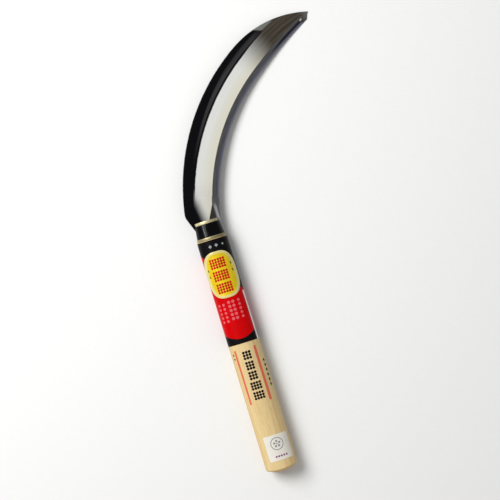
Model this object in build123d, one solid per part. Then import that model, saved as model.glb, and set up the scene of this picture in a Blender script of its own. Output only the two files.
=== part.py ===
"""Hand sickle: a forged crescent blade let into an oval wooden handle.

The tool is drawn flat first: +Y runs from the butt to the blade, +X points to
the tip's side, +Z is the bevelled face, and the origin is the centre of the
butt face. At the end the whole tool is rolled about its handle, so that it
lies as it does on a table, on the handle and the blade's tip.
All lengths are in millimetres and all angles in degrees.
"""
import math
import os

from build123d import *

# Handle: an oval bar, a little wider and deeper at the butt than at the head.
HANDLE_LENGTH = 223.6
HEAD_HALF_WIDTH = 14.3
HEAD_HALF_DEPTH = 11.9
BUTT_HALF_WIDTH = 15.1
BUTT_HALF_DEPTH = 12.4
BUTT_CROWN_RADIUS = 26.0
BUTT_FLAT_RADIUS = 5.0
BUTT_EDGE_RADIUS = 2.0

# Ferrule, with a brass ring below it and one round its mouth.
LOWER_RING_LENGTH = 2.8
LOWER_RING_HALF_WIDTH = 13.75
LOWER_RING_HALF_DEPTH = 11.45
FERRULE_LENGTH = 12.4
FERRULE_BASE_HALF_WIDTH = 13.3
FERRULE_BASE_HALF_DEPTH = 11.0
FERRULE_TOP_HALF_WIDTH = 11.8
FERRULE_TOP_HALF_DEPTH = 9.7
FERRULE_WALL = 1.0
FERRULE_END_WALL = 1.2
FERRULE_SEAM_X = -4.6
FERRULE_SEAM_WIDTH = 0.7
FERRULE_SEAM_HEIGHT = 0.12
UPPER_RING_LENGTH = 2.7
UPPER_RING_THICKNESS = 0.6
UPPER_RING_STEP = 0.5

# Blade: the grind line, where the flat ends and the bevel starts, is one arc.
BLADE_THICKNESS = 2.6
EDGE_THICKNESS = 0.2
GRIND_RADIUS = 209.6
GRIND_START_X = -4.0
GRIND_START_HEIGHT = 26.0
GRIND_START_ANGLE = 163.0
BLADE_LENGTH = 214.5
BEVEL_WIDTH = 23.4
SPINE_BAND_WIDTH = 11.7
SPINE_RADIUS = 198.4
SPINE_WIDEST_AT = 75.4
TIP_SPINE_RADIUS = 96.0
TIP_EDGE_RADIUS = 400.0
TIP_SPINE_DROP = 10.5
TIP_EDGE_DROP = 16.1
TIP_NOSE_SLANT = 4.8
TIP_NOSE_BULGE = 0.7
SHOULDER_HEIGHT = 8.2
SHOULDER_RADIUS = 3.0
SPINE_CHAMFER = 0.35
RUN_OUT_RADIUS = 260.0
RICASSO_RADIUS = 110.0
STEP_TOP_FROM_EDGE = 4.9
STEP_FOOT_X = 3.0

# Hard steel, forge-welded under the bevel along the edge.
STEEL_THICKNESS = 0.85
STEEL_BACK_WIDTH = 18.0
STEEL_HEEL_INSET = 2.0
STEEL_TIP_INSET = 6.5

# Root and tang: the root sits in a slot across the handle's end.
ROOT_DEPTH = 7.5
ROOT_SIDE_MARGIN = 0.5
TANG_WIDTH = 16.0
TANG_END_WIDTH = 10.0
TANG_LENGTH = 78.0
TANG_PIN_RADIUS = 2.0
TANG_PIN_FROM_HEAD = 24.0

# Printed film, badge and sticker.
WRAP_THICKNESS = 0.15
WRAP_LENGTH = 99.3
WRAP_HEAD_GAP = 0.4
BADGE_THICKNESS = 0.15
BADGE_LENGTH = 44.0
BADGE_SIDE_MARGIN = 0.4
BADGE_CENTRE_X = -0.4
BADGE_FROM_HEAD = 33.6
BADGE_SQUARENESS = 3.0
BADGE_OUTLINE_POINTS = 24
STICKER_THICKNESS = 0.15
STICKER_LENGTH = 24.0
STICKER_WIDTH = 22.0
STICKER_CENTRE_X = 2.1
STICKER_FROM_BUTT = 23.1

# Clearances.
SLOT_CLEARANCE = 0.02
TANG_CLEARANCE = 0.2
MORTISE_SPARE = 2.0
PIN_CLEARANCE = 0.02
TANG_HOLE_CLEARANCE = 0.1

# Reach of the tools that cut right through a piece, in millimetres and degrees.
OVERCUT = 3.0
FAR = 60.0
TIP_OVERSWEEP = 2.0

# How near an arc's radius must be to be taken for the spine.
RADIUS_MATCH = 0.001

# Search for the angle that the tool lies at.
LIE_ANGLE_LIMIT = 30.0
LIE_ANGLE_HALVINGS = 50

ring_y = HANDLE_LENGTH
ferrule_y = ring_y + LOWER_RING_LENGTH
neck_y = ferrule_y + FERRULE_LENGTH
mouth_y = neck_y + UPPER_RING_LENGTH
slot_y = mouth_y - ROOT_DEPTH
face_z = BLADE_THICKNESS / 2


def polar(centre, radius, angle):
    """Point at an angle and a radius from a centre, in the blade's plane."""
    turn = math.radians(angle)
    return (centre[0] + radius * math.cos(turn), centre[1] + radius * math.sin(turn))


def angle_of(centre, point):
    """Direction of a point seen from a centre."""
    return math.degrees(math.atan2(point[1] - centre[1], point[0] - centre[0]))


def circles_meet(centre_a, radius_a, centre_b, radius_b, side):
    """Point at radius_a from one centre and radius_b from the other."""
    gap = math.dist(centre_a, centre_b)
    along = (gap**2 + radius_a**2 - radius_b**2) / (2 * gap)
    turn = math.degrees(math.acos(along / radius_a))
    return polar(centre_a, radius_a, angle_of(centre_a, centre_b) + side * turn)


def arc(centre, radius, start_angle, end_angle):
    """Arc between two angles about a centre."""
    middle = (start_angle + end_angle) / 2
    return ThreePointArc(
        polar(centre, radius, start_angle),
        polar(centre, radius, middle),
        polar(centre, radius, end_angle),
    )


def oval_bar(stations, grow=0.0):
    """Solid through ovals, each given as (y, half width, half depth)."""
    ovals = []
    for y, half_width, half_depth in stations:
        plane = Plane((0, y, 0), x_dir=(1, 0, 0), z_dir=(0, 1, 0))
        ovals.append(plane * Ellipse(half_width + grow, half_depth + grow))
    return loft(ovals, ruled=True)


def handle_oval(y):
    """The handle's oval at a distance from the butt."""
    share = y / HANDLE_LENGTH
    half_width = BUTT_HALF_WIDTH + (HEAD_HALF_WIDTH - BUTT_HALF_WIDTH) * share
    half_depth = BUTT_HALF_DEPTH + (HEAD_HALF_DEPTH - BUTT_HALF_DEPTH) * share
    return (y, half_width, half_depth)


# Centres and angles of the blade's arcs.
grind_start = (GRIND_START_X, mouth_y + GRIND_START_HEIGHT)
grind_centre = polar(grind_start, GRIND_RADIUS, GRIND_START_ANGLE + 180)
degrees_per_mm = math.degrees(1 / GRIND_RADIUS)
widest_angle = GRIND_START_ANGLE - SPINE_WIDEST_AT * degrees_per_mm
tip_angle = GRIND_START_ANGLE - BLADE_LENGTH * degrees_per_mm
nose_angle = tip_angle + TIP_NOSE_SLANT * degrees_per_mm
edge_radius = GRIND_RADIUS - BEVEL_WIDTH
spine_shift = GRIND_RADIUS + SPINE_BAND_WIDTH - SPINE_RADIUS
spine_centre = polar(grind_centre, spine_shift, widest_angle)
spine_tip = polar(grind_centre, GRIND_RADIUS - TIP_SPINE_DROP, tip_angle)
edge_tip = polar(grind_centre, GRIND_RADIUS - TIP_EDGE_DROP, nose_angle)
tip_spine_centre = circles_meet(
    spine_centre, SPINE_RADIUS - TIP_SPINE_RADIUS, spine_tip, TIP_SPINE_RADIUS, 1
)
tip_edge_centre = circles_meet(
    grind_centre, TIP_EDGE_RADIUS - edge_radius, edge_tip, TIP_EDGE_RADIUS, -1
)
tip_spine_joint = angle_of(spine_centre, tip_spine_centre)
tip_edge_joint = angle_of(tip_edge_centre, grind_centre)


def blade_outline():
    """Outline of the crescent and its root, down to the slot's bottom."""
    shoulder_angle = 180 - math.degrees(
        math.asin((mouth_y + SHOULDER_HEIGHT - spine_centre[1]) / SPINE_RADIUS)
    )
    heel_angle = 180 - math.degrees(math.asin((slot_y - grind_centre[1]) / edge_radius))
    root_share = (slot_y - ferrule_y) / FERRULE_LENGTH
    root_half = FERRULE_BASE_HALF_WIDTH - ROOT_SIDE_MARGIN
    root_half += (FERRULE_TOP_HALF_WIDTH - FERRULE_BASE_HALF_WIDTH) * root_share
    root_corner = (-root_half, slot_y)
    spine = arc(spine_centre, SPINE_RADIUS, shoulder_angle, tip_spine_joint)
    spine_end = arc(
        tip_spine_centre,
        TIP_SPINE_RADIUS,
        tip_spine_joint,
        angle_of(tip_spine_centre, spine_tip),
    )
    edge_end = arc(
        tip_edge_centre,
        TIP_EDGE_RADIUS,
        angle_of(tip_edge_centre, edge_tip),
        tip_edge_joint,
    )
    edge = arc(grind_centre, edge_radius, tip_edge_joint, heel_angle)
    nose = SagittaArc(spine_end @ 1, edge_end @ 0, TIP_NOSE_BULGE)
    heel = edge @ 1
    shoulder = spine @ 0
    root = Polyline((heel.X, heel.Y), root_corner, (shoulder.X, shoulder.Y))
    return make_face([spine, spine_end, nose, edge_end, edge, root])


def tang_outline(clearance=0.0, spare=0.0):
    """Outline of the tang, below the slot's bottom."""
    top_half = TANG_WIDTH / 2 + clearance
    end_half = TANG_END_WIDTH / 2 + clearance
    end_y = slot_y - TANG_LENGTH - spare
    points = [(-top_half, slot_y), (top_half, slot_y), (end_half, end_y), (-end_half, end_y)]
    return make_face(Polyline(*points, close=True))


def plate(outline, bottom, top):
    """Outline made solid between two heights."""
    return Pos(0, 0, bottom) * extrude(outline, amount=top - bottom)


def bevel_cutter(centre, radius, start_angle, sweep):
    """Ring sector that leaves a bevel rising outwards from the edge's radius."""
    slope = (BLADE_THICKNESS - EDGE_THICKNESS) / BEVEL_WIDTH
    edge_z = EDGE_THICKNESS - face_z
    profile = Polyline(
        (radius - OVERCUT, edge_z - OVERCUT * slope),
        (radius + BEVEL_WIDTH + OVERCUT, face_z + OVERCUT * slope),
        (radius + BEVEL_WIDTH + OVERCUT, face_z + OVERCUT),
        (radius - OVERCUT, face_z + OVERCUT),
        close=True,
    )
    section = Plane.XZ * make_face(profile)
    ring = revolve(section, Axis.Z, sweep)
    return Pos(centre[0], centre[1], 0) * Rot(0, 0, start_angle) * ring


def run_out_cutter(radius):
    """Round end of the bevel at the heel, as a grinding wheel leaves it."""
    slope = math.degrees(math.atan((BLADE_THICKNESS - EDGE_THICKNESS) / BEVEL_WIDTH))
    wheel = Pos(0, 0, radius) * Rot(0, 90, 0) * Cylinder(radius, 2 * FAR)
    place = Pos(grind_start[0], grind_start[1], face_z)
    return place * Rot(0, 0, GRIND_START_ANGLE) * Rot(0, -slope, 0) * wheel


def run_out_zone():
    """Room where the bevel runs out gently, beside the thick ricasso at the edge."""
    step_top = polar(grind_centre, edge_radius + STEP_TOP_FROM_EDGE, GRIND_START_ANGLE)
    beyond_edge = polar(grind_centre, edge_radius - FAR, GRIND_START_ANGLE)
    lean = (step_top[0] - STEP_FOOT_X) / (step_top[1] - mouth_y)
    low_y = slot_y - OVERCUT
    foot_x = STEP_FOOT_X - lean * (mouth_y - low_y)
    high_y = grind_start[1] + FAR
    points = [(-FAR, low_y), (foot_x, low_y), step_top, beyond_edge]
    points += [(FAR, high_y), (-FAR, high_y)]
    return plate(make_face(Polyline(*points, close=True)), -FAR, FAR)


def steel_zone():
    """Room that the hard steel takes on the back of the blade, along the edge."""
    heel_angle = GRIND_START_ANGLE + STEEL_HEEL_INSET * degrees_per_mm
    steel_tip = nose_angle + STEEL_TIP_INSET * degrees_per_mm
    inner = arc(grind_centre, edge_radius - FAR, steel_tip, heel_angle)
    outer = arc(grind_centre, edge_radius + STEEL_BACK_WIDTH, steel_tip, heel_angle)
    sides = [Line(inner @ 0, outer @ 0), Line(inner @ 1, outer @ 1)]
    zone = make_face([inner, outer] + sides)
    return plate(zone, -face_z - OVERCUT, STEEL_THICKNESS - face_z)


def ferrule_stations():
    """Outer ovals of the ferrule's cone."""
    return [
        (ferrule_y, FERRULE_BASE_HALF_WIDTH, FERRULE_BASE_HALF_DEPTH),
        (neck_y, FERRULE_TOP_HALF_WIDTH, FERRULE_TOP_HALF_DEPTH),
    ]


def neck_stations():
    """Outer ovals of the ferrule's narrower neck, under the upper ring."""
    half_width = FERRULE_TOP_HALF_WIDTH - UPPER_RING_STEP - UPPER_RING_THICKNESS
    half_depth = FERRULE_TOP_HALF_DEPTH - UPPER_RING_STEP - UPPER_RING_THICKNESS
    return [(neck_y, half_width, half_depth), (mouth_y, half_width, half_depth)]


def make_tenon():
    """The handle's turned end, inside the rings and the ferrule."""
    base, top = ferrule_stations()
    shoulder = (ring_y, base[1], base[2])
    cone_top = (top[0] - FERRULE_WALL, top[1], top[2])
    cone = oval_bar([shoulder, base, cone_top], grow=-FERRULE_WALL)
    neck_base = (cone_top[0], *neck_stations()[0][1:])
    neck_top = neck_stations()[1]
    neck_end = (neck_top[0] - FERRULE_END_WALL, neck_top[1], neck_top[2])
    return cone + oval_bar([neck_base, neck_end], grow=-FERRULE_WALL)


def make_slot():
    """Slot across the handle's end and the ferrule, for the blade's root."""
    height = ROOT_DEPTH + OVERCUT
    depth = BLADE_THICKNESS + 2 * SLOT_CLEARANCE
    return Pos(0, slot_y + height / 2, 0) * Box(FAR, height, depth)


def make_pin_hole(clearance):
    """Round hole down through the handle, where the pin crosses the tang."""
    pin_y = HANDLE_LENGTH - TANG_PIN_FROM_HEAD
    return Pos(0, pin_y, 0) * Cylinder(TANG_PIN_RADIUS + clearance, FAR)


def make_handle_blank():
    """The oval bar with its crowned butt."""
    bar = oval_bar([handle_oval(0), handle_oval(HANDLE_LENGTH)])
    crown_y = math.sqrt(BUTT_CROWN_RADIUS**2 - BUTT_FLAT_RADIUS**2)
    rim_y = crown_y - math.sqrt(BUTT_CROWN_RADIUS**2 - BUTT_HALF_WIDTH**2)
    crown = Pos(0, crown_y, 0) * Sphere(BUTT_CROWN_RADIUS)
    body = Pos(0, crown_y + HANDLE_LENGTH / 2, 0) * Box(FAR, HANDLE_LENGTH, FAR)
    bar = bar & (crown + body)
    rim = bar.edges().filter_by(lambda edge: edge.center().Y < rim_y)
    rim = rim.sort_by(SortBy.LENGTH)[-1]
    return fillet(rim, BUTT_EDGE_RADIUS)


def make_handle(blank, tenon):
    """Wooden handle with its slot, mortise and pin hole."""
    mortise_half = face_z + SLOT_CLEARANCE
    mortise = plate(tang_outline(TANG_CLEARANCE, MORTISE_SPARE), -mortise_half, mortise_half)
    return blank + tenon - make_slot() - mortise - make_pin_hole(PIN_CLEARANCE)


def make_blade():
    """The blade's two layers: the iron body with its tang, and the hard steel."""
    crescent = plate(blade_outline(), -face_z, face_z)
    shoulder = crescent.edges().filter_by(Axis.Z).sort_by_distance(
        (-FERRULE_TOP_HALF_WIDTH, mouth_y + SHOULDER_HEIGHT, 0)
    )[0]
    crescent = fillet(shoulder, SHOULDER_RADIUS)
    spine = crescent.edges().filter_by(GeomType.CIRCLE).filter_by(
        lambda edge: abs(edge.radius - SPINE_RADIUS) < RADIUS_MATCH
    )
    crescent = chamfer(spine, SPINE_CHAMFER)
    tip_sweep = tip_edge_joint - angle_of(tip_edge_centre, edge_tip) + TIP_OVERSWEEP
    crescent -= bevel_cutter(
        grind_centre, edge_radius, tip_edge_joint, GRIND_START_ANGLE - tip_edge_joint
    )
    crescent -= bevel_cutter(
        tip_edge_centre, TIP_EDGE_RADIUS, tip_edge_joint - tip_sweep, tip_sweep
    )
    crescent -= run_out_cutter(RICASSO_RADIUS)
    crescent -= run_out_cutter(RUN_OUT_RADIUS) & run_out_zone()
    zone = steel_zone()
    steel = crescent & zone
    iron = crescent - zone
    tang = plate(tang_outline(), -face_z, face_z)
    iron = iron + tang - make_pin_hole(TANG_HOLE_CLEARANCE)
    return iron, steel


def make_ferrule(tenon):
    """Black ferrule: a cone with a neck, closed round the blade's root."""
    cone = oval_bar(ferrule_stations())
    ridge = oval_bar(ferrule_stations(), grow=FERRULE_SEAM_HEIGHT)
    slab = Pos(FERRULE_SEAM_X, neck_y, FAR / 2) * Box(FERRULE_SEAM_WIDTH, FAR, FAR)
    shell = cone + (ridge & slab) + oval_bar(neck_stations())
    return shell - tenon - make_slot()


def make_upper_ring():
    """Brass band round the ferrule's neck, parted where the blade passes."""
    neck = oval_bar(neck_stations())
    band = oval_bar(neck_stations(), grow=UPPER_RING_THICKNESS)
    return band - neck - make_slot()


def make_lower_ring(tenon):
    """Brass ring between the handle's shoulder and the ferrule."""
    half_sizes = (LOWER_RING_HALF_WIDTH, LOWER_RING_HALF_DEPTH)
    return oval_bar([(ring_y, *half_sizes), (ferrule_y, *half_sizes)]) - tenon


def skin(low_y, high_y, inner_grow, thickness):
    """Thin sleeve on the handle, between two distances from the butt."""
    stations = [handle_oval(low_y), handle_oval(high_y)]
    return oval_bar(stations, inner_grow + thickness) - oval_bar(stations, inner_grow)


def make_badge():
    """Oval foil badge stuck over the wrap's front."""
    centre_y = HANDLE_LENGTH - BADGE_FROM_HEAD
    half_length = BADGE_LENGTH / 2
    half_width = handle_oval(centre_y)[1] - BADGE_SIDE_MARGIN
    points = []
    power = 2 / BADGE_SQUARENESS
    for step in range(BADGE_OUTLINE_POINTS):
        turn = 2 * math.pi * step / BADGE_OUTLINE_POINTS
        across = math.copysign(abs(math.cos(turn)) ** power, math.cos(turn))
        along = math.copysign(abs(math.sin(turn)) ** power, math.sin(turn))
        points.append((BADGE_CENTRE_X + half_width * across, centre_y + half_length * along))
    outline = make_face(Spline(*points, periodic=True))
    low_y = centre_y - half_length - OVERCUT
    high_y = centre_y + half_length + OVERCUT
    return skin(low_y, high_y, WRAP_THICKNESS, BADGE_THICKNESS) & plate(outline, 0, FAR)


def make_sticker():
    """Paper sticker near the butt."""
    low_y = STICKER_FROM_BUTT - STICKER_LENGTH / 2
    high_y = STICKER_FROM_BUTT + STICKER_LENGTH / 2
    column = Pos(STICKER_CENTRE_X, STICKER_FROM_BUTT, FAR / 2) * Box(
        STICKER_WIDTH, STICKER_LENGTH, FAR
    )
    return skin(low_y - OVERCUT, high_y + OVERCUT, 0, STICKER_THICKNESS) & column


def lie_angle():
    """Roll about the handle that brings the tip down to the handle's underside."""
    reach = math.hypot(spine_tip[0], face_z)
    lift = math.degrees(math.atan(face_z / spine_tip[0]))
    low = 0.0
    high = LIE_ANGLE_LIMIT
    for _ in range(LIE_ANGLE_HALVINGS):
        roll = (low + high) / 2
        turn = math.radians(roll)
        under_handle = math.hypot(
            BUTT_HALF_WIDTH * math.sin(turn), BUTT_HALF_DEPTH * math.cos(turn)
        )
        under_tip = reach * math.sin(math.radians(roll + lift))
        if under_tip < under_handle:
            low = roll
        else:
            high = roll
    return low


wrap_top_y = HANDLE_LENGTH - WRAP_HEAD_GAP
blank = make_handle_blank()
tenon = make_tenon()
blade_iron, edge_steel = make_blade()
nodes = {
    "handle": make_handle(blank, tenon),
    "tang_pin": make_pin_hole(0) & blank,
    "blade_body": blade_iron,
    "edge_steel": edge_steel,
    "ferrule": make_ferrule(tenon),
    "upper_ring": make_upper_ring(),
    "lower_ring": make_lower_ring(tenon),
    "wrap_label": skin(wrap_top_y - WRAP_LENGTH, wrap_top_y, 0, WRAP_THICKNESS),
    "oval_badge": make_badge(),
    "butt_sticker": make_sticker(),
}

os.makedirs("parts", exist_ok=True)
roll = lie_angle()
for name, shape in nodes.items():
    lying = shape.rotate(Axis.Y, roll)
    export_step(lying, f"parts/{name}.step")
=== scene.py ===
import math

import bmesh
import bpy
import numpy as np
from mathutils import Matrix, Vector, noise


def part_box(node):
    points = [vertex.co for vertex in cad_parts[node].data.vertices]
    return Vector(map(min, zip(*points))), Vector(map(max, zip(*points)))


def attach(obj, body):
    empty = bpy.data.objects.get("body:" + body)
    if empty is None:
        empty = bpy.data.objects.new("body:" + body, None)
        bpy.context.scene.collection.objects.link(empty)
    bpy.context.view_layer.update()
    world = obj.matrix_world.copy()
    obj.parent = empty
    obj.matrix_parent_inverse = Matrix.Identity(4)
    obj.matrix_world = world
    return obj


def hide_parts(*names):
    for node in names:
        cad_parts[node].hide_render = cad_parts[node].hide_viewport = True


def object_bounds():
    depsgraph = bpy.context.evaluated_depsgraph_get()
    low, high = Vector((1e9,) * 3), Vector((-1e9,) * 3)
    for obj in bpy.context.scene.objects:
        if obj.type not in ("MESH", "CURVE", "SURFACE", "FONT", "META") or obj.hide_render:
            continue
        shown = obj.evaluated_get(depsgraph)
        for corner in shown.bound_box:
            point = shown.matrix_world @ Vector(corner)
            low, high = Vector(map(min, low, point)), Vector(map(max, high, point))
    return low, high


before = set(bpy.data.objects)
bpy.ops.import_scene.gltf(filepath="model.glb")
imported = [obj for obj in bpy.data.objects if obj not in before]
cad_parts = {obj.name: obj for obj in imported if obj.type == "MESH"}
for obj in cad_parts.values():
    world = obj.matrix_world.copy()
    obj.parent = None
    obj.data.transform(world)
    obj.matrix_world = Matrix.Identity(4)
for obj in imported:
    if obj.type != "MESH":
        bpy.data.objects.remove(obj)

cad_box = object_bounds()
MM = 0.001
UP = Vector((0, 0, 1))

# Places that the frame gives.
ring_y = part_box("lower_ring")[0].y
ferrule_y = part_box("lower_ring")[1].y
neck_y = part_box("upper_ring")[0].y
mouth_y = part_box("upper_ring")[1].y
wrap_low_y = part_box("wrap_label")[0].y
wrap_high_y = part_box("wrap_label")[1].y
badge_low_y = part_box("oval_badge")[0].y
badge_high_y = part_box("oval_badge")[1].y
sticker_low_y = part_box("butt_sticker")[0].y
sticker_high_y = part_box("butt_sticker")[1].y
pin_y = (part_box("tang_pin")[0].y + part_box("tang_pin")[1].y) / 2
floor_z = cad_box[0].z

# The blade's flat underside shows how far the tool is rolled.
flat_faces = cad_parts["blade_body"].data.polygons
flat_normal = max(flat_faces, key=lambda face: face.area).normal
LIE = math.atan2(abs(flat_normal.x), abs(flat_normal.z))
LYING = Matrix.Rotation(LIE, 4, "Y")

# Handle.
BUTT_HALF = (15.1 * MM, 12.4 * MM)
HEAD_HALF = (14.3 * MM, 11.9 * MM)
CROWN_RADIUS = 26 * MM
CROWN_FLAT = 5 * MM
BUTT_ROUNDING = 2 * MM
WOOD_RELIEF = 0.07 * MM

# Rings and ferrule, as half widths and half depths.
LOWER_RING_HALF = (13.75 * MM, 11.45 * MM)
FERRULE_BASE_HALF = (13.3 * MM, 11 * MM)
FERRULE_TOP_HALF = (11.8 * MM, 9.7 * MM)
FERRULE_WALL = 1 * MM
END_WALL = 1.2 * MM
NECK_INSET = 1.1 * MM
NECK_HALF = tuple(size - NECK_INSET for size in FERRULE_TOP_HALF)
BAND_THICKNESS = 0.6 * MM
SEAM_X = -4.6 * MM
SEAM_WIDTH = 0.45 * MM
SEAM_LIFT = 0.02 * MM
SEAM_SHORTENING = 0.6 * MM

# Blade.
FACE_Z = 1.3 * MM
EDGE_Z = -1.1 * MM
LAYER_Z = -0.45 * MM
GRIND_RADIUS = 209.6 * MM
GRIND_START = Vector((-4 * MM, mouth_y + 26 * MM))
HEEL_ANGLE = math.radians(163)
BLADE_LENGTH = 214.5 * MM
BEVEL_WIDTH = 23.4 * MM
SPINE_BAND = 11.7 * MM
SPINE_RADIUS = 198.4 * MM
WIDEST_AT = 75.4 * MM
TIP_SPINE_RADIUS = 96 * MM
TIP_EDGE_RADIUS = 400 * MM
TIP_SPINE_DROP = 10.5 * MM
TIP_EDGE_DROP = 16.1 * MM
NOSE_SLANT = 4.8 * MM
NOSE_BULGE = 0.66 * MM
TIP_INSET = 0.01 * MM
SHOULDER_HEIGHT = 8.2 * MM
SHOULDER_ROUNDING = 3 * MM
SPINE_ROUNDING = 0.45 * MM
RUN_OUT_RADIUS = 260 * MM
RICASSO_RADIUS = 110 * MM
STEP_TOP_FROM_EDGE = 4.9 * MM
STEP_FOOT = Vector((3 * MM, mouth_y))
STEEL_BACK_WIDTH = 18 * MM
STEEL_HEEL_INSET = 2 * MM
STEEL_TIP_INSET = 6.5 * MM
ROOT_DEPTH = 7.5 * MM
ROOT_MARGIN = 0.5 * MM
TANG_HALF = 8 * MM
TANG_END_HALF = 5 * MM
TANG_LENGTH = 78 * MM
TANG_STEP = 0.1 * MM
PIN_RADIUS = 2 * MM
PIN_GAP = 0.1 * MM
PIN_SIDES = 48
HAMMER_DEPTH = 0.07 * MM

# The small bright spot beside the tip, then in degrees the scale's slanted end and the
# grey patch beside it.
BRIGHT_SPOT = (138.2 * MM, 393.6 * MM, 0)
SCALE_END_TURN = 116.2
PATCH_TURN = 113.0
PATCH_END_TURN = 116.7
# The heel's tongue of ground metal: how it leans and fades across.
TONGUE_LEAN = 0.13
TONGUE_FADE = (-5.6 * MM, 5.4 * MM)

# Film, badge and sticker.
FILM = 0.15 * MM
FILM_LAP = 0.1 * MM
# Where the film's lap ends round the handle, the pale margin past it, and the two
# ends of the red field.
LAP_DEGREES = 67.5
MARGIN_DEGREES = 14.5
MARGIN_TOP_Y = 170 * MM
RED_LOW_Y = 128.4 * MM
RED_LOW_BOW = 27.0
RED_HIGH_Y = 191.5 * MM
RED_HIGH_SLANT = 1.38
BADGE_BORDER = 2.3 * MM
BADGE_SQUARENESS = 3.0
BADGE_CENTRE_X = -0.4 * MM
BADGE_MARGIN = 0.4 * MM
BADGE_REACH = 0.985
STICKER_X = 2.1 * MM
STICKER_WIDTH = 22 * MM
CLEARANCE = 0.02 * MM

handle_length = ring_y
slot_y = mouth_y - ROOT_DEPTH


# ---------------------------------------------------------------- meshes

def finish_piece(name, mesh, material, stands_for=(), sharp=35):
    """A mesh in the tool's frame becomes a piece that lies with the tool."""
    mesh.name = name
    mesh.transform(LYING)
    mesh.materials.clear()
    mesh.materials.append(material)
    mesh.polygons.foreach_set("use_smooth", [True] * len(mesh.polygons))
    mesh.set_sharp_from_angle(angle=math.radians(sharp))
    piece = bpy.data.objects.new(name, mesh)
    bpy.context.scene.collection.objects.link(piece)
    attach(piece, "root")
    if stands_for:
        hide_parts(*stands_for)


def clean(bm):
    """Merges what meets, drops faces with no area, and turns faces outwards."""
    bmesh.ops.remove_doubles(bm, verts=bm.verts, dist=0.002 * MM)
    bmesh.ops.dissolve_degenerate(bm, edges=bm.edges, dist=0.001 * MM)
    bmesh.ops.recalc_face_normals(bm, faces=bm.faces)


def loft(name, loops, ring=False):
    """Closed skin through loops of points, capped at its ends or closed to a ring."""
    bm = bmesh.new()
    rows = [[bm.verts.new(point) for point in loop] for loop in loops]
    pairs = list(zip(rows, rows[1:]))
    if ring:
        pairs.append((rows[-1], rows[0]))
    for low, high in pairs:
        count = len(low)
        for i in range(count):
            j = (i + 1) % count
            bm.faces.new((low[i], low[j], high[j], high[i]))
    if not ring:
        bm.faces.new(reversed(rows[0]))
        bm.faces.new(rows[-1])
    clean(bm)
    mesh = bpy.data.meshes.new(name)
    bm.to_mesh(mesh)
    bm.free()
    return mesh


def evaluated(piece):
    """The piece's mesh with its modifiers, as a plain mesh."""
    bpy.context.view_layer.update()
    graph = bpy.context.evaluated_depsgraph_get()
    return bpy.data.meshes.new_from_object(piece.evaluated_get(graph))


def combine(mesh, tools, operation):
    """Cuts tools out of a mesh, or joins them to it."""
    body = bpy.data.objects.new("work", mesh)
    bpy.context.scene.collection.objects.link(body)
    helpers = []
    for tool in tools:
        helper = bpy.data.objects.new("tool", tool)
        bpy.context.scene.collection.objects.link(helper)
        helpers.append(helper)
        change = body.modifiers.new("change", "BOOLEAN")
        change.operation = operation
        change.solver = "EXACT"
        change.object = helper
    result = evaluated(body)
    for helper in helpers + [body]:
        bpy.data.objects.remove(helper)
    return result


def prism(outline, low_z, high_z):
    """Closed prism on a flat outline."""
    loops = [[(x, y, z) for x, y in outline] for z in (low_z, high_z)]
    return loft("prism", loops)


def pin_tool(radius):
    """Round cutter down through the handle at the pin."""
    turns = [2 * math.pi * i / PIN_SIDES for i in range(PIN_SIDES)]
    outline = [(radius * math.cos(t), pin_y + radius * math.sin(t)) for t in turns]
    return prism(outline, -20 * MM, 20 * MM)


def slot_tool():
    """Cutter for the slot across the handle's end, for the blade's root."""
    half = FACE_Z + CLEARANCE
    reach = 30 * MM
    outline = [(-reach, slot_y), (reach, slot_y)]
    outline += [(reach, mouth_y + reach), (-reach, mouth_y + reach)]
    return prism(outline, -half, half)


def handle_half(y):
    """Half width and half depth of the handle at a distance from the butt."""
    share = y / handle_length
    return tuple(b + (h - b) * share for b, h in zip(BUTT_HALF, HEAD_HALF))


def oval_point(y, turn, grow, half=None):
    """Point outside an oval by grow; turn runs from the top towards the tip's side."""
    width, depth = half or handle_half(y)
    side, top = math.sin(turn), math.cos(turn)
    normal = Vector((depth * side, 0, width * top)).normalized()
    return Vector((width * side, y, depth * top)) + grow * normal


def oval_loop(y, half, grow=0.0, count=144):
    """Loop of points round an oval."""
    turns = [2 * math.pi * i / count for i in range(count)]
    return [oval_point(y, turn, grow, half) for turn in turns]


def between(low, high, count):
    """Evenly spaced values from low to high, both included."""
    return [low + (high - low) * i / (count - 1) for i in range(count)]


# ---------------------------------------------------------------- node trees

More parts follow.
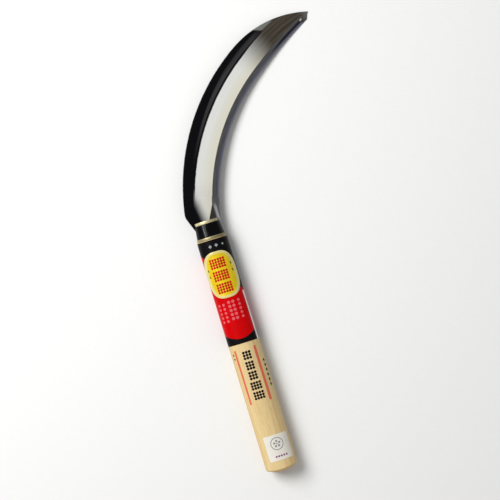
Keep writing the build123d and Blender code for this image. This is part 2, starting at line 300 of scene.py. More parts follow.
class Tree:
    """Short words for making node trees."""

    def __init__(self, tree):
        self.tree = tree

    def node(self, kind, inputs=(), **settings):
        made = self.tree.nodes.new(kind)
        for key, value in settings.items():
            setattr(made, key, value)
        for key, value in dict(inputs).items():
            self.put(made.inputs[key], value)
        return made

    def put(self, socket, value):
        if isinstance(value, bpy.types.NodeSocket):
            self.tree.links.new(value, socket)
        elif value is not None:
            socket.default_value = value

    def math(self, operation, *values, clamp=False):
        inputs = dict(enumerate(values))
        made = self.node("ShaderNodeMath", inputs, operation=operation, use_clamp=clamp)
        return made.outputs[0]

    def plus(self, first, second):
        return self.math("ADD", first, second)

    def less(self, first, second):
        return self.math("SUBTRACT", first, second)

    def times(self, first, second):
        return self.math("MULTIPLY", first, second)

    def vector(self, operation, *values):
        made = self.node("ShaderNodeVectorMath", dict(enumerate(values)), operation=operation)
        return made.outputs["Value" if operation in ("LENGTH", "DISTANCE") else "Vector"]

    def parts(self, vector):
        made = self.node("ShaderNodeSeparateXYZ", {0: vector})
        return made.outputs[0], made.outputs[1], made.outputs[2]

    def join(self, x, y, z):
        return self.node("ShaderNodeCombineXYZ", {0: x, 1: y, 2: z}).outputs[0]

    def ramp(self, value, low, high, low_out=0.0, high_out=1.0):
        """Smooth step from low to high."""
        inputs = {"Value": value, "From Min": low, "From Max": high}
        inputs.update({"To Min": low_out, "To Max": high_out})
        made = self.node("ShaderNodeMapRange", inputs, interpolation_type="SMOOTHSTEP")
        return made.outputs[0]

    def band(self, value, low, high, soft):
        """One between low and high, with soft borders, and nothing outside."""
        rise = self.ramp(value, low - soft, low + soft)
        fall = self.ramp(value, high - soft, high + soft, 1.0, 0.0)
        return self.times(rise, fall)

    def noise(self, vector, scale, detail=3.0, roughness=0.5):
        inputs = {"Vector": vector, "Scale": scale, "Detail": detail, "Roughness": roughness}
        return self.node("ShaderNodeTexNoise", inputs).outputs[0]

    def mix(self, factor, low, high):
        """Colour between low and high."""
        made = self.node("ShaderNodeMix", data_type="RGBA")
        self.put(made.inputs[0], factor)
        self.put(made.inputs[6], low if hasattr(low, "node") else (*low, 1))
        self.put(made.inputs[7], high if hasattr(high, "node") else (*high, 1))
        return made.outputs[2]

    def tint(self, colour, mask, share, shade):
        """The colour, with a share of a shade where the mask is one."""
        return self.mix(self.times(mask, share), colour, shade)

    def blend(self, factor, low, high):
        """Value between low and high."""
        made = self.node("ShaderNodeMix", {0: factor, 2: low, 3: high}, data_type="FLOAT")
        return made.outputs[0]


class Finish(Tree):
    """A material with one glossy shader, patterned in the tool's own frame."""

    def __init__(self, name, **constants):
        self.material = bpy.data.materials.new(name)
        self.material.use_nodes = True
        super().__init__(self.material.node_tree)
        self.shader = self.tree.nodes["Principled BSDF"]
        for key, value in constants.items():
            self.shader.inputs[key.replace("_", " ")].default_value = value
        coordinates = self.node("ShaderNodeTexCoord").outputs["Object"]
        upright = self.node("ShaderNodeMapping", {"Vector": coordinates})
        upright.inputs["Rotation"].default_value = (0, -LIE, 0)
        self.place = upright.outputs[0]
        self.x, self.y, self.z = self.parts(self.place)

    def stretched(self, x, y, z):
        """The place with each axis scaled, for grain that runs one way."""
        return self.vector("MULTIPLY", self.place, (x, y, z))

    def wear(self, width, low, high):
        """One on edges and corners, nothing on faces."""
        bevel = self.node("ShaderNodeBevel", {"Radius": width}, samples=6)
        normal = self.node("ShaderNodeNewGeometry").outputs["Normal"]
        made = self.node("ShaderNodeVectorMath", {0: bevel.outputs[0], 1: normal})
        made.operation = "DOT_PRODUCT"
        return self.ramp(made.outputs["Value"], low, high, 1.0, 0.0)

    def done(self, colour=None, roughness=None, metallic=None, bumps=()):
        """Joins the patterns to the shader; bumps are (height, strength, depth)."""
        for name, value in (
            ("Base Color", colour), ("Roughness", roughness), ("Metallic", metallic)
        ):
            if value is not None:
                self.put(self.shader.inputs[name], value)
        normal = None
        for height, strength, depth in bumps:
            inputs = {"Height": height, "Strength": strength, "Distance": depth}
            inputs["Normal"] = normal
            normal = self.node("ShaderNodeBump", inputs).outputs[0]
        if normal is not None:
            self.put(self.shader.inputs["Normal"], normal)
        return self.material


def shade_of(red, green, blue):
    """Linear colour for a display colour of 0 to 255."""
    def linear(value):
        value /= 255
        return value / 12.92 if value <= 0.04045 else ((value + 0.055) / 1.055) ** 2.4
    return (linear(red), linear(green), linear(blue))


def new_tree(name, sizes):
    """Geometry tree with the sizes and a material as named inputs, and those inputs."""
    tree = bpy.data.node_groups.new(name, "GeometryNodeTree")
    face = tree.interface
    face.new_socket("Geometry", in_out="INPUT", socket_type="NodeSocketGeometry")
    for size in sizes:
        face.new_socket(size, in_out="INPUT", socket_type="NodeSocketFloat")
    face.new_socket("Material", in_out="INPUT", socket_type="NodeSocketMaterial")
    face.new_socket("Geometry", in_out="OUTPUT", socket_type="NodeSocketGeometry")
    t = Tree(tree)
    return t, t.node("NodeGroupInput").outputs


def end_tree(t, geometry, material):
    """Ends a geometry tree with real geometry in one material."""
    real = t.node("GeometryNodeRealizeInstances", {0: geometry})
    dressed = {"Geometry": real.outputs[0], "Material": material}
    done = t.node("GeometryNodeSetMaterial", dressed)
    t.node("NodeGroupOutput", {0: done.outputs[0]})
    return t.tree


# ---------------------------------------------------------------- blade curves

def polar(centre, radius, turn):
    """Point at an angle and a radius from a centre."""
    return Vector(centre) + radius * Vector((math.cos(turn), math.sin(turn)))


def angle_of(centre, point):
    """Direction of a point seen from a centre."""
    return math.atan2(point[1] - centre[1], point[0] - centre[0])


def circles_meet(centre_a, radius_a, centre_b, radius_b, side):
    """Point at radius_a from one centre and radius_b from the other."""
    gap = (Vector(centre_b) - Vector(centre_a)).length
    along = (gap**2 + radius_a**2 - radius_b**2) / (2 * gap)
    turn = angle_of(centre_a, centre_b) + side * math.acos(along / radius_a)
    return polar(centre_a, radius_a, turn)


grind_centre = polar(GRIND_START, GRIND_RADIUS, HEEL_ANGLE + math.pi)
tip_angle = HEEL_ANGLE - BLADE_LENGTH / GRIND_RADIUS
nose_angle = tip_angle + NOSE_SLANT / GRIND_RADIUS
edge_radius = GRIND_RADIUS - BEVEL_WIDTH
spine_shift = GRIND_RADIUS + SPINE_BAND - SPINE_RADIUS
spine_centre = polar(grind_centre, spine_shift, HEEL_ANGLE - WIDEST_AT / GRIND_RADIUS)
spine_tip = polar(grind_centre, GRIND_RADIUS - TIP_SPINE_DROP, tip_angle)
edge_tip = polar(grind_centre, GRIND_RADIUS - TIP_EDGE_DROP, nose_angle)
tip_spine_centre = circles_meet(
    spine_centre, SPINE_RADIUS - TIP_SPINE_RADIUS, spine_tip, TIP_SPINE_RADIUS, 1
)
tip_edge_centre = circles_meet(
    grind_centre, TIP_EDGE_RADIUS - edge_radius, edge_tip, TIP_EDGE_RADIUS, -1
)
tip_spine_joint = angle_of(spine_centre, tip_spine_centre)
tip_edge_joint = angle_of(tip_edge_centre, grind_centre)
bevel_slope = (FACE_Z - EDGE_Z) / BEVEL_WIDTH
heel_out = Vector((math.cos(HEEL_ANGLE), math.sin(HEEL_ANGLE)))
heel_down = Vector((-heel_out.y, heel_out.x))
step_top = polar(grind_centre, edge_radius + STEP_TOP_FROM_EDGE, HEEL_ANGLE)
step_rise = (step_top - STEP_FOOT).normalized()
step_out = Vector((step_rise.y, -step_rise.x))


def ray_hit(centre, radius, turn):
    """Where a ray from the grind's centre leaves a circle."""
    ray = Vector((math.cos(turn), math.sin(turn)))
    to_centre = Vector(centre) - grind_centre
    along = ray.dot(to_centre)
    reach = along + math.sqrt(radius**2 - to_centre.length_squared + along**2)
    return grind_centre + reach * ray


def spine_point(turn):
    """The spine at an angle seen from the grind's centre."""
    point = ray_hit(spine_centre, SPINE_RADIUS, turn)
    if angle_of(spine_centre, point) < tip_spine_joint:
        point = ray_hit(tip_spine_centre, TIP_SPINE_RADIUS - TIP_INSET, turn)
    return point


def edge_point(turn):
    """The cutting edge at an angle seen from the grind's centre."""
    if turn < tip_edge_joint:
        return ray_hit(tip_edge_centre, TIP_EDGE_RADIUS, turn)
    return polar(grind_centre, edge_radius, turn)


def ground_height(point, radius=RUN_OUT_RADIUS):
    """Height of the ground bevel, which runs on above the flat face.

    Past the heel it curves up at the given radius.
    """
    turn = angle_of(grind_centre, point)
    if turn < tip_edge_joint:
        reach = (Vector(point) - tip_edge_centre).length - TIP_EDGE_RADIUS
        return EDGE_Z + bevel_slope * reach
    if turn < HEEL_ANGLE:
        reach = (Vector(point) - grind_centre).length - edge_radius
        return EDGE_Z + bevel_slope * reach
    out = (Vector(point) - GRIND_START).dot(heel_out)
    down = (Vector(point) - GRIND_START).dot(heel_down)
    lift = radius - math.sqrt(radius**2 - down**2)
    return FACE_Z + bevel_slope * out + lift


def crossing(start, end, height, radius=RUN_OUT_RADIUS):
    """Share of the way from start to end where the bevel falls below a height."""
    if ground_height(start, radius) <= height:
        return 0.0
    if ground_height(end, radius) >= height:
        return 1.0
    low, high = 0.0, 1.0
    for _ in range(30):
        middle = (low + high) / 2
        if ground_height(start.lerp(end, middle), radius) > height:
            low = middle
        else:
            high = middle
    return low


def hammered(x, y, side):
    """Shallow dents that the hammer leaves under the forge scale, from 0 to 1."""
    spot = Vector((x, y, side)) / MM
    broad = noise.noise(spot * 0.13)
    fine = noise.noise(spot * 0.5 + Vector((7, 3, 1)))
    return max(0.0, min(1.0, 0.5 + 0.7 * broad + 0.25 * fine))


BLADE_ROWS = 170
ROOT_ROWS = 26
BAND_COLUMNS = 12
BEVEL_COLUMNS = 14
BACK_COLUMNS = 14


def blade_rows():
    """Lines across the blade from the spine to the edge, from the tip to the root."""
    rows = []
    for i in range(BLADE_ROWS + 1):
        share = i / BLADE_ROWS
        spine = spine_point(tip_angle + (HEEL_ANGLE - tip_angle) * share)
        edge = edge_point(nose_angle + (HEEL_ANGLE - nose_angle) * share)
        rows.append((spine, edge))
    root_half = fraction_between(FERRULE_BASE_HALF[0], FERRULE_TOP_HALF[0]) - ROOT_MARGIN
    shoulder_turn = math.pi - math.asin(
        (mouth_y + SHOULDER_HEIGHT - spine_centre.y) / SPINE_RADIUS
    )
    shoulder = polar(spine_centre, SPINE_RADIUS, shoulder_turn)
    corner = Vector((-root_half, slot_y))
    round_in = polar(spine_centre, SPINE_RADIUS, shoulder_turn - SHOULDER_ROUNDING / SPINE_RADIUS)
    round_out = shoulder + (corner - shoulder).normalized() * SHOULDER_ROUNDING
    start_turn = angle_of(spine_centre, rows[-1][0])
    path = []
    for turn in between(start_turn, angle_of(spine_centre, round_in), 40):
        path.append(polar(spine_centre, SPINE_RADIUS, turn))
    for share in between(0, 1, 12):
        first = round_in.lerp(shoulder, share)
        path.append(first.lerp(shoulder.lerp(round_out, share), share))
    path += [round_out.lerp(corner, share) for share in between(0, 1, 30)]
    lengths = np.cumsum([0] + [(b - a).length for a, b in zip(path, path[1:])])
    last_turn = math.pi - math.asin((slot_y - grind_centre.y) / edge_radius)
    for i in range(1, ROOT_ROWS + 1):
        share = i / ROOT_ROWS
        x = np.interp(share * lengths[-1], lengths, [point.x for point in path])
        y = np.interp(share * lengths[-1], lengths, [point.y for point in path])
        edge = polar(grind_centre, edge_radius, HEEL_ANGLE + (last_turn - HEEL_ANGLE) * share)
        rows.append((Vector((x, y)), edge))
    return rows


def fraction_between(base, top):
    """A ferrule size at the bottom of the slot."""
    return base + (top - base) * (slot_y - ferrule_y) / (neck_y - ferrule_y)


def section(row):
    """Lengths across one row: all of it, to the grind line, to the steel, to its back."""
    spine, edge = row
    width = (edge - spine).length
    grind = width * crossing(spine, edge, FACE_Z)
    layer = width * crossing(spine, edge, LAYER_Z)
    back = max(2.0 * MM, width - STEEL_BACK_WIDTH)
    return width, grind, layer, back


def places_across(row):
    """Function that gives the point at a length across a row, at a height."""
    spine, edge = row
    along = (edge - spine) / (edge - spine).length

    def at(reach, z):
        return (spine.x + along.x * reach, spine.y + along.y * reach, z)

    return at


def top_height(place, radius=RUN_OUT_RADIUS):
    """Height of the blade's top side at a place: the flat face or the bevel."""
    return min(FACE_Z, ground_height(Vector(place[:2]), radius))


def step_reach(row):
    """Length across a row to the step beside the thick ricasso."""
    spine, edge = row
    along = (edge - spine).normalized()
    return (STEP_FOOT - spine).dot(step_out) / along.dot(step_out)


def bulged(points, row, index):
    """Moves a row's points out where the tip's nose is round."""
    if index > 0:
        return points
    spine, edge = row
    along = (edge - spine).normalized()
    out = Vector((-along.y, along.x))
    if out.dot(heel_down) > 0:
        out = -out
    width = (edge - spine).length
    moved = []
    for point in points:
        share = (Vector(point[:2]) - spine).length / width
        shift = 4 * NOSE_BULGE * share * (1 - share) * out
        moved.append((point[0] + shift.x, point[1] + shift.y, point[2]))
    return moved


def iron_loop(row, with_steel, ricasso=False):
    """Section of the iron body, with or without the pocket that holds the steel.

    With the ricasso, the gentle end of the bevel stops at a step.
    """
    spine, edge = row
    width, grind, layer, back = section(row)
    at = places_across(row)
    start_z = top_height(spine)
    soft = min(SPINE_ROUNDING, 0.4 * (start_z + FACE_Z))

    def struck(reach, z, side):
        x, y, _ = at(reach, z)
        calm = min(1.0, max(0.0, (min(grind, width) - reach) / MM)) if side > 0 else 1.0
        return (x, y, z - side * HAMMER_DEPTH * calm * hammered(x, y, side))

    loop = [at(0, soft - FACE_Z), at(0, start_z - soft)]
    loop.append(at(0.3 * soft, start_z - 0.3 * soft))
    first = min(soft, width)
    crease = max(first, grind)
    step = step_reach(row) if ricasso else width
    crease = min(crease, step)

    def topped(reach, radius=RUN_OUT_RADIUS):
        return at(reach, top_height(at(reach, 0), radius))

    for reach in between(first, crease, BAND_COLUMNS):
        loop.append(struck(reach, topped(reach)[2], 1))
    if ricasso:
        step_point = Vector(at(step, 0)[:2])
        flat_end = crossing(step_point, edge, FACE_Z, RICASSO_RADIUS)
        flat_end = step + (width - step) * flat_end
        for reach in between(crease, step, 7)[1:]:
            loop.append(topped(reach))
        for reach in between(step, flat_end, 3) + between(flat_end, width, 5)[1:]:
            loop.append(topped(reach, RICASSO_RADIUS))
    else:
        end = max(crease, layer) if with_steel else width
        for reach in between(crease, end, BEVEL_COLUMNS)[1:]:
            loop.append(topped(reach))
    if with_steel:
        loop += [at(back, loop[-1][2]), at(back, -FACE_Z)]
    else:
        loop += [at(width, -FACE_Z), at(back, -FACE_Z)]
    for reach in between(back, soft, BACK_COLUMNS)[1:-1]:
        loop.append(struck(reach, -FACE_Z, -1))
    loop += [at(soft, -FACE_Z), at(0.3 * soft, 0.3 * soft - FACE_Z)]
    return loop


def steel_loop(row):
    """Section of the hard steel, from the step in the iron to the edge."""
    width, grind, layer, back = section(row)
    at = places_across(row)
    start = max(grind, layer)
    loop = [at(reach, top_height(at(reach, 0))) for reach in between(start, width, 9)]
    loop += [at(reach, -FACE_Z) for reach in between(width, back, 9)]
    loop.append(at(back, loop[0][2]))
    return loop


def tang_loop(half, y, size):
    """Section of the tang, a plain flat bar, with as many points as a section of the iron."""
    thick = FACE_Z - TANG_STEP
    below = BACK_COLUMNS + 2
    above = size - below - 1
    loop = [(-half, y, -thick)]
    loop += [(x, y, thick) for x in between(-half, half, above)]
    loop += [(x, y, -thick) for x in between(half, -half, below + 1)[:-1]]
    return loop


def make_blade(iron_finish, steel_finish):
    """The forged blade: an iron body with its tang, and hard steel along the edge."""
    rows = blade_rows()
    tip_row = round(STEEL_TIP_INSET / BLADE_LENGTH * BLADE_ROWS)
    heel_row = BLADE_ROWS + round(STEEL_HEEL_INSET / (30 * MM) * ROOT_ROWS)
    loops = []
    for i, row in enumerate(rows):
        if i == tip_row:
            loops.append(iron_loop(row, False))
        steel_here = tip_row <= i <= heel_row
        loops.append(bulged(iron_loop(row, steel_here, i > heel_row), row, i))
        if i == heel_row:
            loops.append(iron_loop(row, False, True))
    size = len(loops[-1])
    loops.append(tang_loop(TANG_HALF, slot_y, size))
    loops.append(tang_loop(TANG_END_HALF, slot_y - TANG_LENGTH, size))
    iron = combine(loft("iron", loops), [pin_tool(PIN_RADIUS + PIN_GAP)], "DIFFERENCE")
    finish_piece("blade_iron", iron, iron_finish, ["blade_body"])
    steel = loft("steel", [steel_loop(row) for row in rows[tip_row:heel_row + 1]])
    finish_piece("blade_steel", steel, steel_finish, ["edge_steel"])


# ---------------------------------------------------------------- handle

def handle_tree():
    """Node tree that shapes a cylinder into the oval bar with its crowned butt."""
    t, given = new_tree("oval handle bar", (
        "Butt Half Width", "Butt Half Depth", "Head Half Width", "Head Half Depth",
        "Length", "Crown Radius", "Crown Flat", "Rounding", "Relief",
    ))
    bar = t.node(
        "GeometryNodeMeshCylinder",
        {"Vertices": 160, "Side Segments": 130, "Fill Segments": 16, "Radius": 1, "Depth": 1},
        fill_type="TRIANGLE_FAN",
    ).outputs["Mesh"]
    x, y, z = t.parts(t.node("GeometryNodeInputPosition").outputs[0])
    along = t.plus(z, 0.5)
    spread = t.math("POWER", t.math("MAXIMUM", along, 0.0), 1.7)
    reach = t.math("SQRT", t.plus(t.times(x, x), t.times(y, y)))
    on_side = t.math("GREATER_THAN", reach, 0.999)
    half_width = t.blend(spread, given["Butt Half Width"], given["Head Half Width"])
    half_depth = t.blend(spread, given["Butt Half Depth"], given["Head Half Depth"])
    ball = t.times(given["Crown Radius"], given["Crown Radius"])
    flat = t.times(given["Crown Flat"], given["Crown Flat"])
    crown_top = t.math("SQRT", t.less(ball, flat))
    inner = t.less(1.0, t.math("DIVIDE", given["Rounding"], given["Butt Half Width"]))
    unit_x = t.math("DIVIDE", x, t.math("MAXIMUM", reach, 1e-6))
    unit_y = t.math("DIVIDE", y, t.math("MAXIMUM", reach, 1e-6))

    def crown(share):
        flat_x = t.times(t.times(unit_x, share), half_width)
        flat_y = t.times(t.times(unit_y, share), half_depth)
        square = t.plus(t.times(flat_x, flat_x), t.times(flat_y, flat_y))
        depth = t.math("SQRT", t.less(ball, square))
        return t.math("MAXIMUM", t.less(crown_top, depth), 0.0)

    rim = crown(inner)
    cap = crown(t.times(reach, inner))
    butt_end = t.math("LESS_THAN", spread, 1e-6)
    side_y = t.blend(spread, rim, given["Length"])
    cap_y = t.blend(butt_end, given["Length"], cap)
    new_y = t.blend(on_side, cap_y, side_y)
    rise = t.math("DIVIDE", t.less(side_y, rim), given["Rounding"], clamp=True)
    left = t.less(1.0, rise)
    bow = t.math("SQRT", t.less(1.0, t.times(left, left)))
    side_share = t.blend(bow, inner, 1.0)
    cap_share = t.times(reach, t.blend(butt_end, 1.0, inner))
    share = t.blend(on_side, cap_share, side_share)
    spot = t.join(
        t.times(unit_x, 1.6), t.times(unit_y, 1.6),
        t.times(new_y, 35.0),
    )
    dents = t.noise(spot, 1.0, detail=2.0)
    sunk = t.times(dents, t.math("DIVIDE", given["Relief"], given["Butt Half Width"]))
    share = t.times(share, t.less(1.0, sunk))
    place = t.join(
        t.times(t.times(unit_x, share), half_width), new_y,
        t.times(t.times(unit_y, share), half_depth),
    )
    shaped = t.node("GeometryNodeSetPosition", {"Geometry": bar, "Position": place})
    turned = t.node("GeometryNodeFlipFaces", {"Mesh": shaped.outputs[0]})
    return end_tree(t, turned.outputs[0], given["Material"])


def run_tree(tree, mesh, values):
    """Runs a node tree on a mesh with the values named, and returns the new mesh."""
    holder = bpy.data.objects.new("holder", mesh)
    bpy.context.scene.collection.objects.link(holder)
    modifier = holder.modifiers.new("tree", "NODES")
    modifier.node_group = tree
    for item in tree.interface.items_tree:
        if item.item_type == "SOCKET" and item.in_out == "INPUT" and item.name in values:
            modifier[item.identifier] = values[item.name]
    made = evaluated(holder)
    bpy.data.objects.remove(holder)
    return made


def make_handle(finish):
    """Oval wooden handle with its tenon, slot, mortise and pin hole."""
    values = {
        "Butt Half Width": BUTT_HALF[0], "Butt Half Depth": BUTT_HALF[1],
        "Head Half Width": HEAD_HALF[0], "Head Half Depth": HEAD_HALF[1],
        "Length": handle_length, "Crown Radius": CROWN_RADIUS, "Crown Flat": CROWN_FLAT,
        "Rounding": BUTT_ROUNDING, "Relief": WOOD_RELIEF, "Material": finish,
    }
    bar = run_tree(handle_tree(), bpy.data.meshes.new("seed"), values)
    wall = FERRULE_WALL + CLEARANCE
    tenon = loft("tenon", [
        oval_loop(handle_length - 2 * MM, FERRULE_BASE_HALF, -wall),
        oval_loop(ferrule_y, FERRULE_BASE_HALF, -wall),
        oval_loop(neck_y - FERRULE_WALL, FERRULE_TOP_HALF, -wall),
        oval_loop(neck_y - FERRULE_WALL / 2, NECK_HALF, -wall),
        oval_loop(mouth_y - END_WALL - CLEARANCE, NECK_HALF, -wall),
    ])
    mortise_half = FACE_Z + CLEARANCE
    top, end = TANG_HALF + 0.2 * MM, TANG_END_HALF + 0.2 * MM
    end_y = slot_y - TANG_LENGTH - 2 * MM
    outline = [(-end, end_y), (end, end_y), (top, slot_y + MM), (-top, slot_y + MM)]
    mortise = prism(outline, -mortise_half, mortise_half)
    whole = combine(bar, [tenon], "UNION")
    whole = combine(whole, [mortise, slot_tool(), pin_tool(PIN_RADIUS + CLEARANCE)], "DIFFERENCE")
    finish_piece("handle_wood", whole, finish, ["handle"])


# ---------------------------------------------------------------- head

def make_ferrule(finish, seam_highlight_finish):
    """Black ferrule, a cone with a neck, with its soldered seam, whose light grey is partly a painted
    highlight.
    """
    lip = 0.35 * MM
    loops = [
        oval_loop(mouth_y - END_WALL, NECK_HALF, -FERRULE_WALL - 4 * MM),
        oval_loop(mouth_y - END_WALL, NECK_HALF, -FERRULE_WALL),
        oval_loop(neck_y - FERRULE_WALL / 2, NECK_HALF, -FERRULE_WALL),
        oval_loop(neck_y - FERRULE_WALL, FERRULE_TOP_HALF, -FERRULE_WALL),
        oval_loop(ferrule_y, FERRULE_BASE_HALF, -FERRULE_WALL),
        oval_loop(ferrule_y, FERRULE_BASE_HALF, -lip),
        oval_loop(ferrule_y + 0.3 * lip, FERRULE_BASE_HALF, -0.3 * lip),
    ]
    for share in between(0.04, 0.96, 14):
        half = tuple(b + (t - b) * share for b, t in zip(FERRULE_BASE_HALF, FERRULE_TOP_HALF))
        loops.append(oval_loop(ferrule_y + (neck_y - ferrule_y) * share, half))
    loops += [
        oval_loop(neck_y - 0.3 * lip, FERRULE_TOP_HALF, -0.3 * lip),
        oval_loop(neck_y, FERRULE_TOP_HALF, -lip),
        oval_loop(neck_y, NECK_HALF),
        oval_loop(mouth_y - lip, NECK_HALF),
        oval_loop(mouth_y - 0.3 * lip, NECK_HALF, -0.3 * lip),
        oval_loop(mouth_y, NECK_HALF, -lip),
        oval_loop(mouth_y, NECK_HALF, -4 * MM),
    ]
    shell = combine(loft("ferrule", loops), [slot_tool()], "DIFFERENCE")
    finish_piece("ferrule_shell", shell, finish, ["ferrule"])
    middle = (ferrule_y + neck_y) / 2
    # The seam strip is a real seam whose light grey is partly a painted highlight on the glossy enamel.
    seam = [bar(SEAM_X, middle, SEAM_WIDTH, neck_y - ferrule_y - SEAM_SHORTENING)]
    cone = (FERRULE_BASE_HALF, FERRULE_TOP_HALF, ferrule_y, neck_y)
    press_marks("ferrule_seam", seam, cone, SEAM_LIFT, seam_highlight_finish)


def band_loops(low_y, high_y, half, inner, outer, lip):
    """Loops of a band with softened edges round an oval."""
    outline = [(low_y, inner), (low_y, outer - lip), (low_y + 0.3 * lip, outer - 0.3 * lip)]
    outline += [(y, outer) for y in between(low_y + lip, high_y - lip, 5)]
    outline += [(high_y - 0.3 * lip, outer - 0.3 * lip), (high_y, outer - lip), (high_y, inner)]
    return [oval_loop(y, half, grow) for y, grow in outline]


def make_rings(finish):
    """Brass rings below the ferrule and round its mouth."""
    upper = loft("upper", band_loops(
        neck_y, mouth_y, NECK_HALF, 0.0, BAND_THICKNESS, 0.22 * MM
    ), ring=True)
    upper = combine(upper, [slot_tool()], "DIFFERENCE")
    finish_piece("ring_upper", upper, finish, ["upper_ring"])
    inner = FERRULE_BASE_HALF[0] - FERRULE_WALL - LOWER_RING_HALF[0]
    lower = loft("lower", band_loops(
        ring_y, ferrule_y, LOWER_RING_HALF, inner, 0.0, 0.5 * MM
    ), ring=True)
    finish_piece("ring_lower", lower, finish, ["lower_ring"])


# ---------------------------------------------------------------- film, badge, sticker

def film_height(y, turn):
    """Outer height of the film over the wood: its lap, and ripples at its ends."""
    degrees = math.degrees(turn) % 360
    lap = min(1.0, max(0.0, (degrees - 38) / 10)) if degrees < LAP_DEGREES else 0.0
    lap *= min(1.0, max(0.0, (badge_low_y - y) / (3 * MM)))
    near_end = min(y - wrap_low_y, wrap_high_y - y)
    curl = math.exp(-near_end / (2.5 * MM))
    ripple = noise.noise(Vector((math.sin(turn) * 3, math.cos(turn) * 3, y * 60)))
    return FILM + FILM_LAP * lap - 0.05 * MM * curl * (0.5 + 0.5 * ripple)


def make_film(finish):
    """Printed film wrapped round the handle, lapped on the tip's side."""
    count = 240
    turns = [2 * math.pi * i / count for i in range(count)]
    heights = between(wrap_low_y, wrap_high_y, 60)
    loops = [[oval_point(y, turn, 0) for turn in turns] for y in reversed(heights)]
    loops += [[oval_point(y, turn, film_height(y, turn)) for turn in turns] for y in heights]
    finish_piece(
        "wrap_film", loft("film", loops, ring=True), finish, ["wrap_label"], 60
    )


def badge_size():
    """Middle, half length and half width of the badge."""
    centre_y = (badge_low_y + badge_high_y) / 2
    half_length = (badge_high_y - badge_low_y) / 2
    return centre_y, half_length, handle_half(centre_y)[0] - BADGE_MARGIN


def make_badge(finish):
    """Embossed oval badge of foil, with a raised border."""
    count, rings = 112, 22
    centre_y, half_length, half_width = badge_size()
    power = 2 / BADGE_SQUARENESS
    border = BADGE_BORDER / half_width
    profile = [(1.0, 0.02), (1.0, 0.14), (0.99, 0.18)]
    profile += [(1 - border * 0.35, 0.20), (1 - border * 0.8, 0.19), (1 - border, 0.10)]
    profile += [((1 - border) * i / rings, 0.10) for i in range(rings - 1, 0, -1)]

    def place(share, turn, lift):
        across = math.copysign(abs(math.cos(turn)) ** power, math.cos(turn))
        up = math.copysign(abs(math.sin(turn)) ** power, math.sin(turn))
        x = BADGE_CENTRE_X + half_width * across * share
        y = centre_y + half_length * up * share
        side = max(-BADGE_REACH, min(BADGE_REACH, x / handle_half(y)[0]))
        around = math.asin(side)
        return oval_point(y, around, film_height(y, around) + lift * MM)

    turns = [2 * math.pi * i / count for i in range(count)]
    under = [[place(share, turn, -0.02) for turn in turns] for share in between(0.05, 1.0, 14)]
    loops = under + [[place(share, turn, lift) for turn in turns] for share, lift in profile]
    finish_piece(
        "badge_foil", loft("badge", loops), finish, ["oval_badge"], 50
    )


def make_sticker(finish):
    """Paper sticker near the butt, with round corners."""
    centre_y = (sticker_low_y + sticker_high_y) / 2
    half_length = (sticker_high_y - sticker_low_y) / 2
    half_width = STICKER_WIDTH / 2
    corner = 1.2 * MM
    outline = []
    for quarter in range(4):
        sign_x = 1 if quarter in (0, 3) else -1
        sign_y = 1 if quarter in (0, 1) else -1
        for turn in between(quarter * math.pi / 2, (quarter + 1) * math.pi / 2, 9):
            x = sign_x * (half_width - corner) + corner * math.cos(turn)
            y = sign_y * (half_length - corner) + corner * math.sin(turn)
            outline.append((x, y))
    dense = []
    for (ax, ay), (bx, by) in zip(outline, outline[1:] + outline[:1]):
        steps = max(1, round(math.hypot(bx - ax, by - ay) / (0.8 * MM)))
        for i in range(steps):
            dense.append((ax + (bx - ax) * i / steps, ay + (by - ay) * i / steps))

    def place(share, point, lift):
        x = STICKER_X + point[0] * share
        y = centre_y + point[1] * share
        return oval_point(y, math.asin(x / handle_half(y)[0]), lift * MM)

    loops = [[place(share, p, -0.08) for p in dense] for share in between(0.06, 0.995, 12)]
    loops += [[place(share, p, 0.11) for p in dense] for share in (1.0, 0.99)]
    loops += [[place(share, p, 0.12) for p in dense] for share in between(0.97, 0.06, 14)]
    finish_piece(
        "sticker_sheet", loft("sticker", loops), finish, ["butt_sticker"], 50
    )


# ---------------------------------------------------------------- printed marks

